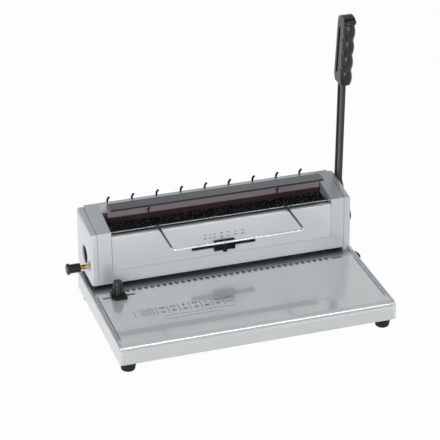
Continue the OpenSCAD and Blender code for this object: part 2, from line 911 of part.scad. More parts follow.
// Punch bar, which slides in the slots of the frames
module punch_bar() {
    color(steel) place() {
        block(-frame_x + set_gap, frame_x - set_gap, bar_y0, bar_y1, bar_z0, bar_z0 + bar_h);
        block(-frame_x - frame_t - 1, frame_x + frame_t + 1, bar_y0, bar_y1, bar_z0, bar_z0 + tongue_z);
    }
}

module punch_racks() {
    z0 = bar_z0;
    z1 = shaft_z + punch_travel + 6;
    color(steel) place() for (x = [-punch_pinion_x, punch_pinion_x])
        translate([0, shaft_y - punch_r, shaft_z])
            along_x(x - rack_w / 2, x + rack_w / 2)
                rack_outline(z0 - shaft_z, z1 - shaft_z, shaft_y - punch_r - bar_y1);
}

module punch_pins() {
    color(chrome) place() for (k = [0:hole_count - 1])
        translate([row_x0 + k * hole_pitch, row_y, 0])
            block(-pin_size / 2, pin_size / 2, -pin_size / 2, pin_size / 2, guide_z0 + 1, bar_z0);
}

module pin_holes(z0, z1) {
    half = pin_size / 2 + run_gap;
    for (k = [0:hole_count - 1])
        translate([row_x0 + k * hole_pitch, row_y, 0])
            block(-half, half, -half, half, z0, z1);
}

module pin_guide_plate() {
    color(steel) place() difference() {
        block(-frame_x, frame_x, bar_y0, bar_y1, guide_z0, guide_z0 + guide_t);
        pin_holes(guide_z0 - 1, guide_z0 + guide_t + 1);
        for (side = [-1, 1])
            rod_z(side * spring_x, row_y, guide_z0 - 1, guide_z0 + guide_t + 1, spring_r + 0.6);
    }
}

// Die plate: a raised strip in the deck's slot and a flange under the deck
module die_plate() {
    relief = 3.5;
    color(steel) place() difference() {
        union() {
            block(bar_x0 + 0.1, bar_x1 - 0.1, bar_y0 + 0.1, bar_y1 - 0.1, deck_low - die_t, deck_z);
            block(bar_x0 - 8, bar_x1 + 8, bar_y0 - 5, bar_y1 + 5, deck_low - die_t, deck_low);
        }
        pin_holes(deck_low - die_t - 1, deck_z + 1);
        block(row_x0 - 4, row_x0 + row_len + 4, row_y - relief, row_y + relief,
              deck_low - die_t - 1, deck_z - 3);
    }
}

module die_screws() {
    color(steel) place() for (x = [bar_x0 - 4, bar_x1 + 4])
        rod_z(x, row_y, deck_low - die_t - 1.8, deck_low - die_t, 3.4);
}

// One coil spring as a single tube along a helix
module coil(r, wire, z0, z1, turns) {
    sides = 6;
    rings = 8;
    count = turns * rings;
    function ring_point(n, k) =
        let (a = 360 * n / rings, b = 360 * k / sides, q = r + wire * cos(b))
        [q * cos(a), q * sin(a), z0 + wire + (z1 - z0 - 2 * wire) * n / count + wire * sin(b)];
    points = [for (n = [0:count], k = [0:sides - 1]) ring_point(n, k)];
    faces = concat(
        [[for (k = [0:sides - 1]) k]],
        [for (n = [0:count - 1], k = [0:sides - 1])
            let (a = n * sides + k, b = n * sides + (k + 1) % sides)
            each [[a, a + sides, b], [b, a + sides, b + sides]]],
        [[for (k = [sides - 1:-1:0]) count * sides + k]]
    );
    polyhedron(points = points, faces = faces, convexity = 10);
}

module punch_springs() {
    color(chrome) place() for (side = [-1, 1])
        translate([side * spring_x, row_y, 0])
            coil(spring_r - 0.6, 0.6, deck_z, bar_z0, 6);
}

module lower_jaw() {
    color(dark) place()
        block(-recess_x + 1.5, recess_x - 1.5, jaw_front, jaw_back, jaw_floor - jaw_t, jaw_floor);
}

// Carrier under the lower jaw, with a rack on each leg
module jaw_carrier() {
    leg_z = shaft_z - closing_travel - 6;
    color(steel) place() {
        block(-recess_x + 4, recess_x - 4, jaw_front + 3, jaw_back, carrier_z, carrier_z + carrier_t);
        for (x = [-closing_pinion_x, closing_pinion_x])
            translate([0, shaft_y + closing_r, shaft_z])
                along_x(x - rack_w / 2, x + rack_w / 2) mirror([1, 0])
                    rack_outline(leg_z - shaft_z, carrier_z - shaft_z,
                                 jaw_back - shaft_y - closing_r);
    }
}

// Blocks on the frames, which back the closing racks
module jaw_guides() {
    color(brass) place() for (side = [-1, 1])
        scale([side, 1, 1])
            block(closing_pinion_x - rack_w / 2 - 3, frame_x, jaw_back + run_gap, jaw_back + 5,
                  shaft_z - 20, shaft_z - 4);
}

module hinge_rod() {
    color(chrome) place() rod_x(-recess_x, recess_x, pivot_y, pivot_z, pivot_r);
}

// Bent wire that holds the paper level while the wire is put in
module paper_support() {
    x1 = bail_w / 2;
    y0 = pivot_y - bail_reach;
    color(chrome) place() translate([row_mid, 0, 0]) {
        for (side = [-1, 1])
            scale([side, 1, 1]) {
                rod_y(x1, y0 + bail_bend, leg_y, leg_z, bail_r);
                translate([x1 - bail_bend, y0 + bail_bend, leg_z])
                    rotate([0, 0, -90])
                        rotate_extrude(angle = 90)
                            translate([bail_bend, 0]) circle(r = bail_r);
            }
        rod_x(-x1 + bail_bend, x1 - bail_bend, y0, leg_z, bail_r);
    }
}

// Sleeves that turn on the rod, each with a socket for a leg
module support_sleeves() {
    panel_end = front_at(panel_top - panel_corner) + panel_depth;
    color(pale) place() translate([row_mid, 0, 0]) for (side = [-1, 1])
        translate([side * bail_w / 2, 0, 0]) difference() {
            union() {
                rod_x(-3.5, 3.5, pivot_y, pivot_z, sleeve_r);
                rod_y(0, pivot_y - 8, pivot_y, leg_z, bail_r + 0.7);
            }
            rod_x(-5, 5, pivot_y, pivot_z, pivot_r + run_gap);
            rod_y(0, pivot_y - 9, leg_y + 0.01, leg_z, bail_r + 0.01);
            block(-5, 5, pivot_y - 9, panel_end + 0.35, leg_z - 6, panel_top + 0.3);
        }
}

// Places a piece on the leaning front face at the slider's level
module on_face() {
    translate([slider_mid, front_at(slider_z), slider_z])
        rotate([-atan2(front_lean, cheek_z - housing_low), 0, 0])
            children();
}

module size_slider() {
    ribs = 6;
    half = slider_w / 2;
    plate_h = 17;
    color(dark) place() on_face() {
        block(-half, half, -2 - set_gap, -set_gap, -plate_h / 2, plate_h / 2);
        for (side = [-1, 1], k = [0:ribs - 1])
            scale([side, 1, 1])
                block(half - 1 - k * 2, half - k * 2, -6 + k * 0.4, -1,
                      -plate_h / 2 + 1, plate_h / 2 - 1);
        block(-3, 3, -7, -1, -plate_h / 2 - 1, plate_h / 2);
        block(-slider_w / 3, slider_w / 3, -1, shell_t + set_gap, -slot_h / 2 + 0.5, slot_h / 2 - 0.5);
    }
}

// Plate behind the panel, which keeps the slider on
module slider_keeper() {
    color(dark) place() on_face()
        block(-slider_w / 2 - 2, slider_w / 2 + 2, shell_t + set_gap, shell_t + 2,
              -slot_h / 2 - 3, slot_h / 2 + 3);
}

// Block that stops the paper's left edge
module edge_guide() {
    z0 = deck_z + run_gap;
    half = guide_w / 2;
    color(dark) place() translate([guide_x, guide_y, 0]) difference() {
        union() {
            translate([0, 0, z0]) linear_extrude(guide_h - 3)
                polygon([
                    [-half, -7], [-half + 5, -13], [half, -13],
                    [half, 11], [-half + 5, 11], [-half, 5]
                ]);
            translate([0, 0, z0]) cylinder(h = guide_h, r = guide_knob_dia / 2 + 1);
        }
        rod_z(0, 0, z0 - 1, z0 + guide_h + 1, guide_stem_r + run_gap);
    }
}

// Plate under the deck with the stud that the knob turns on
stud_in = 10;
module guide_clamp() {
    color(steel) place() translate([guide_x, guide_y, 0]) {
        block(-9, 9, -7, 7, deck_low - run_gap - 3, deck_low - run_gap);
        rod_z(0, 0, deck_low - 2, knob_z + stud_in, guide_stem_r);
    }
}

knob_z = deck_z + guide_h + 2 * run_gap;
module guide_knob() {
    h = 17;
    r = guide_knob_dia / 2;
    color(dark) place() translate([guide_x, guide_y, 0]) difference() {
        translate([0, 0, knob_z]) rotate_extrude()
            polygon([[0, 0], [r, 0], [r, 2], [r - 1.2, h - 2], [r - 2.4, h], [0, h - 0.8]]);
        rod_z(0, 0, knob_z - 1, knob_z + stud_in + 0.3, guide_stem_r + run_gap);
        for (a = [0:30:330])
            rotate([0, 0, a])
                translate([r + 0.5, 0, knob_z + 2])
                    cylinder(h = h, r = 1.5);
    }
}

module depth_shaft() {
    color(steel) place()
        rod_x(-end_x - collar_len - 9, frame_x + frame_t + 2, depth_y, depth_z, depth_r);
}

// Spiral cams, whose radius falls evenly over half a turn
module depth_cams() {
    color(steel) place() for (x = cam_x)
        difference() {
            translate([0, depth_y, depth_z])
                along_x(x - cam_t / 2, x + cam_t / 2)
                    polygon([for (a = [0:10:350])
                        (cam_in + (cam_out - cam_in) * (180 - abs(180 - a)) / 180) * [cos(a), sin(a)]]);
            rod_x(x - cam_t, x + cam_t, depth_y, depth_z, depth_r + 0.01);
        }
}

module depth_knob() {
    x0 = -end_x - collar_len - 0.3;
    len = knob_len - 0.3;
    r = knob_dia / 2;
    ribs = 6;
    step = (len - 5) / ribs;
    color(dark) place() translate([x0, depth_y, depth_z]) rotate([0, -90, 0]) difference() {
        rotate_extrude() {
            square([r - 1.2, len - 1]);
            for (k = [0:ribs - 1])
                translate([0, k * step])
                    polygon([
                        [0, 0], [r - 0.6, 0], [r, 0.5], [r, step - 1.2],
                        [r - 0.9, step - 0.7], [0, step - 0.7]
                    ]);
            translate([0, len - 4.2]) square([r + 1.3, 3.2]);
            translate([0, len - 1.2]) square([r + 0.1, 1.2]);
        }
        translate([0, 0, -1]) cylinder(h = 9.7 + 0.01, r = depth_r + 0.01);
    }
}

module brass_collar() {
    color(brass) place() difference() {
        union() {
            rod_x(-end_x - collar_len, -end_x, depth_y, depth_z, collar_r);
            rod_x(-end_x, -end_x + 2.5, depth_y, depth_z, depth_r + 0.6);
        }
        rod_x(-end_x - collar_len - 1, -end_x + 3, depth_y, depth_z, depth_r + run_gap);
    }
}

// Gauge that the paper's edge stops against, moved by the cams
module back_gauge() {
    z0 = deck_z + run_gap;
    y1 = depth_y - cam_out - set_gap;
    color(steel) place() {
        block(-gauge_len / 2, gauge_len / 2, gauge_y, gauge_y + gauge_t, z0, z0 + 11);
        for (x = cam_x)
            block(x - 4, x + 4, gauge_y, y1, z0 + 8, depth_z + 5);
    }
}

module gauge_rails() {
    color(steel) place() for (side = [-1, 1])
        scale([side, 1, 1])
            block(gauge_len / 2 + set_gap, gauge_len / 2 + 5,
                  gauge_y - 0.7, gauge_y + gauge_t + gauge_travel + 2, deck_z, deck_z + 10);
}

base_deck();
base_side_left();
base_side_right();
base_bottom();
rubber_feet();
foot_screws();
tray_runners();
chip_tray();
tray_pull();
side_frame_left();
side_frame_right();
frame_screws();
tie_rod();
shaft_bushes();
housing_spacers();
housing_shell();
front_panel();
end_cover_left();
end_cover_right();
rear_cover();
cover_screws();
upper_jaw();
smoked_panel();
jaw_screws();
wire_hook_rail();
wire_hooks();
drive_shaft();
shaft_cap();
punch_pinions();
closing_pinions();
lever_hub();
lever_arm();
lever_grip();
hub_cap();
punch_bar();
punch_racks();
punch_pins();
pin_guide_plate();
die_plate();
die_screws();
punch_springs();
lower_jaw();
jaw_carrier();
jaw_guides();
hinge_rod();
paper_support();
support_sleeves();
size_slider();
slider_keeper();
edge_guide();
guide_clamp();
guide_knob();
depth_shaft();
depth_cams();
depth_knob();
brass_collar();
back_gauge();
gauge_rails();
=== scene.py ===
"""Looks of a desk machine that punches paper and closes wire loops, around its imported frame.

Metres throughout. +X is the machine's right, -Y its front and +Z up from the table.
"""
import math

import bmesh
import bpy
from mathutils import Matrix, Vector


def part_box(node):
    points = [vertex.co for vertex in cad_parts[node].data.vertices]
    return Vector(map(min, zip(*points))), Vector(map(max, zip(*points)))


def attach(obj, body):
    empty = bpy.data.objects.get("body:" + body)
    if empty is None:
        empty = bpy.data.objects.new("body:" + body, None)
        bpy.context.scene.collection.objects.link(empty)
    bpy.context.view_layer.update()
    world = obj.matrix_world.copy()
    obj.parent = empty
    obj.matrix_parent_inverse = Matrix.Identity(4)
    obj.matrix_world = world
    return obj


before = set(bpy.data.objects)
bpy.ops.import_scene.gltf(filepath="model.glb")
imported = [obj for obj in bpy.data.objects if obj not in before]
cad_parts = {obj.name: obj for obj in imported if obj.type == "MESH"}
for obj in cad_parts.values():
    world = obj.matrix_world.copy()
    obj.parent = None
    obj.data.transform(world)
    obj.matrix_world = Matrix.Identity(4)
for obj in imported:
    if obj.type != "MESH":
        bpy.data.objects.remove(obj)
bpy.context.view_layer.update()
MM = 0.001

# Camera, fitted to the corners of the base and the lines that run between them
LENS_MM = 154.95
AZIMUTH = math.radians(-18.59)
ELEVATION = math.radians(28.10)
ROLL = math.radians(0.35)
TARGET_FROM_BASE = Vector((-25.77, 110.0, 160.43)) * MM
DISTANCE = 2.7155
CLIP_END = 50

# Lamps: name, azimuth, elevation, distance, width and height, watts and colour
LAMPS = (
    ("key", -36, 11, 2.4, (1.8, 1.1), 28, (1.0, 0.985, 0.965)),
    ("spark", -38, 24, 2.2, (0.13, 0.13), 3.5, (1.0, 0.99, 0.98)),
    ("front strip", 6, 62, 1.8, (1.6, 0.13), 8.0, (1.0, 0.97, 0.93)),
    ("fill", 30, 14, 2.4, (1.2, 0.8), 1.0, (0.95, 0.98, 1.0)),
    ("side", -114, 9, 2.2, (0.4, 0.4), 2.5, (1.0, 0.99, 0.97)),
)
LAMP_AIM = Vector((0, 0, 0.1))
FLOOR_HALF = 6.0

# Places on the machine, from the frame
deck_lo, deck_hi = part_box("base_deck")
panel_lo, panel_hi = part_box("front_panel")
pins_lo, pins_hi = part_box("punch_pins")
housing_lo, housing_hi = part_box("housing_shell")
slider_lo, slider_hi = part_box("size_slider")
cap_lo, cap_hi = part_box("shaft_cap")
MIDDLE_X = (housing_lo.x + housing_hi.x) / 2
BASE_FRONT = deck_lo.y
CHEEK_FRONT = housing_lo.y + 5 * MM
COVER_FOOT = panel_hi.z + 7.5 * MM
COVER_SLOPE = 8.5 / 75
PANEL_LEAN = 5.0 / 81.5
HOOK_TONE_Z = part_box("wire_hooks")[1].z - 8.0 * MM
SHEET_TONE_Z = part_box("lower_jaw")[1].z + 8.9 * MM
CAP_RADIUS = (cap_hi.y - cap_lo.y) / 2

# Print and thin trim
INK_THICK = 0.06 * MM
MARK_THICK = 0.03 * MM
HOLE_COUNT = 34
PIN_WIDE = 4 * MM

# Edges and normals of the CAD nodes
WELD_GAP = 0.01 * MM
FLAT_ANGLE = math.radians(0.5)
BEVEL_ANGLE = math.radians(35)
SPLIT_ANGLE = math.radians(38)

WHITE = (1, 1, 1, 1)
BLACK = (0, 0, 0)
# Black of the painted shade deep in a hole and round the shaft cap
HOLE_SHADE_BLACK = (0.003, 0.003, 0.003)
EDGE_BLACK = (0.02, 0.022, 0.022)


def direction(azimuth, elevation):
    """Unit vector from the object towards a viewer or a lamp. Azimuth 0 is straight in front."""
    flat = math.cos(elevation)
    return Vector((math.sin(azimuth) * flat, -math.cos(azimuth) * flat, math.sin(elevation)))


def facing(place, towards):
    """Matrix of a camera or lamp at a place that looks at a point."""
    turn = (towards - place).to_track_quat("-Z", "Y").to_matrix().to_4x4()
    return Matrix.Translation(place) @ turn


def link(made):
    """Puts a new object into the scene."""
    bpy.context.scene.collection.objects.link(made)
    return made


def make_camera():
    """Camera at the photograph's angle."""
    data = bpy.data.cameras.new("camera")
    data.lens = LENS_MM
    data.clip_end = CLIP_END
    camera = link(bpy.data.objects.new("camera", data))
    target = Vector((MIDDLE_X, BASE_FRONT, 0)) + TARGET_FROM_BASE
    place = target + direction(AZIMUTH, ELEVATION) * DISTANCE
    camera.matrix_world = facing(place, target) @ Matrix.Rotation(ROLL, 4, "Z")
    bpy.context.scene.camera = camera


def make_lamp(name, azimuth, elevation, distance, size, watts, colour):
    """Soft rectangular lamp that faces the machine, with its angles in degrees."""
    data = bpy.data.lights.new(name, "AREA")
    data.shape = "RECTANGLE"
    data.size, data.size_y = size
    data.energy = watts
    data.color = colour
    lamp = link(bpy.data.objects.new(name, data))
    place = LAMP_AIM + direction(math.radians(azimuth), math.radians(elevation)) * distance
    lamp.matrix_world = facing(place, LAMP_AIM)


def add(tree, kind, settings=None, inputs=None):
    """Adds a shader node. An input is a plain value or another node's output socket."""
    made = tree.nodes.new(kind)
    for key, value in (settings or {}).items():
        setattr(made, key, value)
    for key, value in (inputs or {}).items():
        if isinstance(value, bpy.types.NodeSocket):
            tree.links.new(value, made.inputs[key])
        else:
            made.inputs[key].default_value = value
    return made


def number(tree, operation, *values):
    """Result of a math node. A value is a number or another node's output socket."""
    return add(tree, "ShaderNodeMath", {"operation": operation}, dict(enumerate(values))).outputs[0]


def vector(tree, operation, *values):
    """Result of a vector math node, which is a number where it measures a length."""
    made = add(tree, "ShaderNodeVectorMath", {"operation": operation}, dict(enumerate(values)))
    return made.outputs["Value" if operation == "LENGTH" else "Vector"]


def parts(tree, place):
    """The X, Y and Z outputs of a place."""
    return add(tree, "ShaderNodeSeparateXYZ", inputs={"Vector": place}).outputs


def object_place(tree):
    """Place in the object's own coordinates."""
    return add(tree, "ShaderNodeTexCoord").outputs["Object"]


def along(tree, axis):
    """Distance along an axis of the object's own coordinates."""
    return parts(tree, object_place(tree))[axis]


def from_x_line(tree, place):
    """How far a place is from the X axis through its origin."""
    return vector(tree, "LENGTH", vector(tree, "MULTIPLY", place, (0, 1, 1)))


def noise(tree, scale, detail, stretch=(1, 1, 1)):
    """Noise over the object's own coordinates, drawn out along an axis by a small stretch value."""
    place = add(tree, "ShaderNodeMapping", inputs={"Vector": object_place(tree), "Scale": stretch})
    made = add(tree, "ShaderNodeTexNoise", inputs={
        "Vector": place.outputs["Vector"], "Scale": scale, "Detail": detail})
    return made.outputs["Fac"]


def spread(tree, value, low, high, start=0.3, end=0.7):
    """Maps a value to a range: low at start and high at end."""
    made = add(tree, "ShaderNodeMapRange", inputs={
        "Value": value, "From Min": start, "From Max": end, "To Min": low, "To Max": high})
    return made.outputs["Result"]


def between(tree, value, dark, light, start=0.3, end=0.7):
    """Colour ramp between two colours."""
    made = add(tree, "ShaderNodeValToRGB", inputs={"Fac": value})
    ramp = made.color_ramp
    ramp.elements[0].position, ramp.elements[1].position = start, end
    ramp.elements[0].color = (*dark, 1)
    ramp.elements[1].color = (*light, 1)
    return made.outputs["Color"]


def blended(tree, share, first, second):
    """Colour that goes from the first to the second, sockets or (r, g, b), as the share goes from 0 to 1."""
    first, second = [c if isinstance(c, bpy.types.NodeSocket) else (*c, 1) for c in (first, second)]
    made = add(tree, "ShaderNodeMix", {"data_type": "RGBA"}, {0: share, 6: first, 7: second})
    return made.outputs[2]


def painted_shade_along(tree, tone, axis, start, end, low):
    """Tone darkened along an axis as painted shade, from full at start to a low share of itself at end."""
    share = spread(tree, along(tree, axis), 1.0, low, start, end)
    return blended(tree, share, BLACK, tone)


def scaled(colour, factor):
    """Colour made lighter or darker."""
    return tuple(min(1.0, c * factor) for c in colour)


def new_material(name, even=None):
    """Material with its even values set on the shader's own sockets, its node tree and the shader."""
    made = bpy.data.materials.new(name)
    made.use_nodes = True
    tree = made.node_tree
    shader = tree.nodes["Principled BSDF"]
    for socket, value in (even or {}).items():
        shader.inputs[socket].default_value = value
    return made, tree, shader


def plug(tree, shader, colour, roughness, height=None, bump_mm=0.02, strength=1.0):
    """Links a colour, a roughness and, where given, a bump to the shader."""
    tree.links.new(colour, shader.inputs["Base Color"])
    tree.links.new(roughness, shader.inputs["Roughness"])
    if height is not None:
        bump = add(tree, "ShaderNodeBump", inputs={
            "Height": height, "Distance": bump_mm * MM, "Strength": strength})
        tree.links.new(bump.outputs["Normal"], shader.inputs["Normal"])


def hole_depth(tree, mouth, radius):
    """Share from 0 at the lit mouth of a hole along X to 1 where no light gets."""
    lit, dark = 2.0 * MM, 2.6 * MM
    place = vector(tree, "SUBTRACT", object_place(tree), mouth)
    inside = number(tree, "LESS_THAN", from_x_line(tree, place), radius)
    deep = spread(tree, parts(tree, place)["X"], 0, 1, lit, dark)
    return number(tree, "MULTIPLY", inside, deep)


def silver_paint(name, colour=(0.60, 0.63, 0.645), rough=0.32, coat=0.7, coat_rough=0.14, coat_ior=1.5,
                 metal=0.5, peel_mm=0.003, shades=(), hole=None):
    """Sprayed silver: fine flake, a faint orange peel and a clear coat.

    Each shade is painted shade: an axis, two places on it and the tone that the paint fades to
    at the second place. A hole along X is the middle of its mouth and its radius: the paint
    is painted black further in, as painted shade inside the hole.
    """
    made, tree, shader = new_material(name, {
        "Metallic": metal, "Coat Weight": coat, "Coat Roughness": coat_rough, "Coat IOR": coat_ior})
    flake = noise(tree, 1700, 2)
    cloud = noise(tree, 8, 1)
    both = number(tree, "MULTIPLY_ADD", flake, 0.6, cloud)
    tone = between(tree, both, scaled(colour, 0.975), scaled(colour, 1.025), 0.6, 1.0)
    # Painted shade: the tone darkens along each shade's axis
    for axis, start, end, low in shades:
        tone = painted_shade_along(tree, tone, axis, start, end, low)
    # Painted shade: black deep inside the hole
    if hole is not None:
        tone = blended(tree, hole_depth(tree, *hole), tone, HOLE_SHADE_BLACK)
    plug(tree, shader,
         colour=tone,
         roughness=spread(tree, flake, rough - 0.03, rough + 0.04),
         height=noise(tree, 500, 2), bump_mm=peel_mm, strength=0.25)
    return made


def black_paint():
    """Semi-gloss black powder coat with light scuffs."""
    made, tree, shader = new_material("black paint", {"Specular IOR Level": 0.4})
    scuff = noise(tree, 60, 6, (1, 1, 0.15))
    plug(tree, shader,
         colour=between(tree, scuff, (0.016, 0.018, 0.020), (0.030, 0.033, 0.036), 0.35, 0.75),
         roughness=spread(tree, scuff, 0.28, 0.42),
         height=noise(tree, 900, 3), bump_mm=0.012, strength=0.4)
    return made


def moulded_plastic(name, colour, rough, shine, depth=0.45, coat=0.0):
    """Spark-eroded moulding: fine even grain with smoother patches where hands rub it."""
    grain_mm = 0.35
    made, tree, shader = new_material(name, {
        "Specular IOR Level": shine, "Coat Weight": coat, "Coat Roughness": 0.05})
    wear = noise(tree, 35, 3)
    plug(tree, shader,
         colour=between(tree, wear, scaled(colour, 0.8), scaled(colour, 1.25)),
         roughness=spread(tree, wear, rough - 0.07, rough + 0.07),
         height=noise(tree, 1 / (grain_mm * MM * 2), 2), bump_mm=0.02, strength=depth)
    return made


def ridged_plastic(name, ridge_share, crest):
    """Black plastic whose ridges are painted paler as painted highlights.
    ridge_share gives 1 on a ridge in a node tree.
    """
    made, tree, shader = new_material(name, {"Specular IOR Level": 0.4})
    plug(tree, shader,
         colour=between(tree, ridge_share(tree), (0.004, 0.0045, 0.005), crest, 0.2, 0.9),
         roughness=spread(tree, noise(tree, 60, 3), 0.16, 0.28),
         height=noise(tree, 1400, 2), bump_mm=0.01, strength=0.2)
    return made


def flutes_of_guide_knob(tree):
    """Share that is 1 on each of the ridges that stand round the upright guide knob."""
    ridges = 12.0
    lo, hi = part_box("guide_knob")
    place = parts(tree, vector(tree, "SUBTRACT", object_place(tree), (lo + hi) / 2))
    angle = number(tree, "ARCTAN2", place["Y"], place["X"])
    wave = number(tree, "COSINE", number(tree, "MULTIPLY", angle, ridges))
    return spread(tree, wave, 0, 1, 0.3, 1.0)


def ribs_of_depth_knob(tree):
    """Share that is 1 where the depth knob, which lies along X, is thick."""
    groove, crest = 6.6 * MM, 7.0 * MM
    lo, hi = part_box("depth_knob")
    place = vector(tree, "SUBTRACT", object_place(tree), (lo + hi) / 2)
    return spread(tree, from_x_line(tree, place), 0, 1, groove, crest)


def cap_plastic():
    """Pale disc in a black cap, a little off its middle: the black round it is painted shade in the hole."""
    made, tree, shader = new_material("cap plastic", {"Specular IOR Level": 0.08})
    middle = (cap_lo + cap_hi) / 2 + Vector((0, 1.8, 1.2)) * MM
    place = vector(tree, "SUBTRACT", object_place(tree), middle)
    # Painted shade: the black ring, set off the middle, stands for the shade in the hole round the cap
    edge = spread(tree, from_x_line(tree, place), 0, 1, CAP_RADIUS - 3.4 * MM, CAP_RADIUS - 2.9 * MM)
    plug(tree, shader,
         colour=between(tree, edge, (0.42, 0.45, 0.455), HOLE_SHADE_BLACK),
         roughness=spread(tree, edge, 0.3, 0.6, 0, 1),
         height=noise(tree, 900, 2), bump_mm=0.01, strength=0.2)
    return made


def wrinkle_black():
    """Coarse black wrinkle paint with pale specks painted into its colour as painted glints."""
    made, tree, shader = new_material("black wrinkle paint", {"Specular IOR Level": 0.08})
    cells = add(tree, "ShaderNodeTexVoronoi", {"feature": "SMOOTH_F1"}, {
        "Vector": object_place(tree), "Scale": 620.0, "Smoothness": 0.6})
    fine = noise(tree, 1500, 3)
    painted_glints = noise(tree, 520, 2)
    # Painted glints: pale specks in the colour
    plug(tree, shader,
         colour=between(tree, painted_glints, (0.001, 0.0013, 0.0013), (0.62, 0.64, 0.64), 0.635, 0.695),
         roughness=spread(tree, fine, 0.18, 0.42),
         height=number(tree, "MULTIPLY_ADD", fine, 0.5, cells.outputs["Distance"]),
         bump_mm=0.35, strength=0.9)
    return made


def ground_steel():
    """Steel with fine grinding lines along the X axis."""
    colour = (0.42, 0.43, 0.45)
    made, tree, shader = new_material("ground steel", {"Metallic": 1.0})
    lines = noise(tree, 1800, 3, (0.04, 1, 1))
    plug(tree, shader,
         colour=between(tree, noise(tree, 25, 3), scaled(colour, 0.88), scaled(colour, 1.1)),
         roughness=spread(tree, lines, 0.24, 0.44),
         height=lines, bump_mm=0.004, strength=0.5)
    return made


def chrome(name, colour, shade=None):
    """Bright plating over drawn wire.
    A shade is a painted dark reflection: two places on Y and the tone at the second one.
    """
    made, tree, shader = new_material(name, {"Metallic": 1.0})
    haze = noise(tree, 40, 2)
    tone = between(tree, haze, scaled(colour, 0.96), scaled(colour, 1.04))
    if shade is not None:
        tone = painted_shade_along(tree, tone, "Y", *shade)
    plug(tree, shader, colour=tone, roughness=spread(tree, haze, 0.17, 0.23))
    return made


def turned_brass():
    """Brass with lathe marks around the X axis."""
    made, tree, shader = new_material("turned brass", {"Metallic": 1.0})
    rings = noise(tree, 2500, 2, (1, 0.02, 0.02))
    tarnish = noise(tree, 160, 4)
    plug(tree, shader,
         colour=between(tree, tarnish, (0.42, 0.17, 0.02), (0.62, 0.30, 0.04)),
         roughness=spread(tree, rings, 0.20, 0.38),
         height=rings, bump_mm=0.006, strength=0.6)
    return made


def two_tone_hooks():
    """Bright steel stems whose curved tips are dipped in black plastic."""
    made, tree, shader = new_material("dipped hooks", {"Specular IOR Level": 0.15})
    edge = noise(tree, 400, 2)
    uneven = number(tree, "MULTIPLY_ADD", edge, 0.6 * MM, along(tree, "Z"))
    dipped = number(tree, "GREATER_THAN", uneven, HOOK_TONE_Z)
    plug(tree, shader,
         colour=between(tree, dipped, (0.70, 0.73, 0.75), (0.004, 0.004, 0.005), 0.4, 0.6),
         roughness=spread(tree, dipped, 0.3, 0.42, 0, 1),
         height=edge, bump_mm=0.01, strength=0.3)
    tree.links.new(spread(tree, dipped, 0.8, 0.0, 0, 1), shader.inputs["Metallic"])
    return made


def smoked_plastic():
    """Polished smoked sheet with painted light: paler above for the grey wall seen in it, painted shade
    below.
    """
    soft_edge = 0.3 * MM
    made, tree, shader = new_material("smoked sheet", {"Specular IOR Level": 0.3})
    haze = noise(tree, 22, 2)
    upper = spread(tree, along(tree, "Z"), 0, 1, SHEET_TONE_Z - soft_edge, SHEET_TONE_Z + soft_edge)
    # Painted shade at the sheet's foot and painted light in its upper part
    foot_painted_shade = between(tree, haze, (0.038, 0.024, 0.027), (0.050, 0.031, 0.035))
    upper_painted_light = between(tree, haze, (0.235, 0.200, 0.213), (0.268, 0.230, 0.245))
    plug(tree, shader,
         colour=blended(tree, upper, foot_painted_shade, upper_painted_light),
         roughness=spread(tree, haze, 0.04, 0.10))
    return made


def edged_grey():
    """Dark grey satin paint, darker to the left as painted shade, whose front face is black."""
    made, tree, shader = new_material("dark grey paint", {"Metallic": 0.4})
    edge_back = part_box("upper_jaw")[0].y + 0.2 * MM
    behind = number(tree, "GREATER_THAN", along(tree, "Y"), edge_back)
    grain = noise(tree, 900, 3)
    tone = between(tree, grain, (0.175, 0.193, 0.206), (0.205, 0.223, 0.237))
    # Painted shade: the paint darkens towards the left end
    share = spread(tree, along(tree, "X"), 0.54, 0.88, -0.16, 0.06)
    tone = blended(tree, share, BLACK, tone)
    plug(tree, shader,
         colour=blended(tree, behind, EDGE_BLACK, tone),
         roughness=spread(tree, grain, 0.36, 0.46),
         height=grain, bump_mm=0.01, strength=0.3)
    return made


def rubber():
    """Matt black rubber."""
    made, tree, shader = new_material("rubber", {"Specular IOR Level": 0.2})
    grain = noise(tree, 700, 3)
    plug(tree, shader,
         colour=between(tree, grain, (0.006, 0.007, 0.008), (0.014, 0.015, 0.017)),
         roughness=spread(tree, grain, 0.55, 0.72),
         height=grain, bump_mm=0.03, strength=0.4)
    return made


def print_ink(name, colour):
    """Screen-printed ink, a little uneven."""
    made, tree, shader = new_material(name, {"Specular IOR Level": 0.1})
    speckle = noise(tree, 2600, 2)
    plug(tree, shader,
         colour=between(tree, speckle, scaled(colour, 0.85), scaled(colour, 1.2)),
         roughness=spread(tree, speckle, 0.35, 0.5))
    return made


def ray_kinds(tree):
    """Shares of the rays from the camera, also through clear pieces, and off glossy surfaces."""
    path = add(tree, "ShaderNodeLightPath").outputs
    seen = number(tree, "MAXIMUM", path["Is Camera Ray"], path["Is Transmission Ray"])
    return seen, path["Is Glossy Ray"]


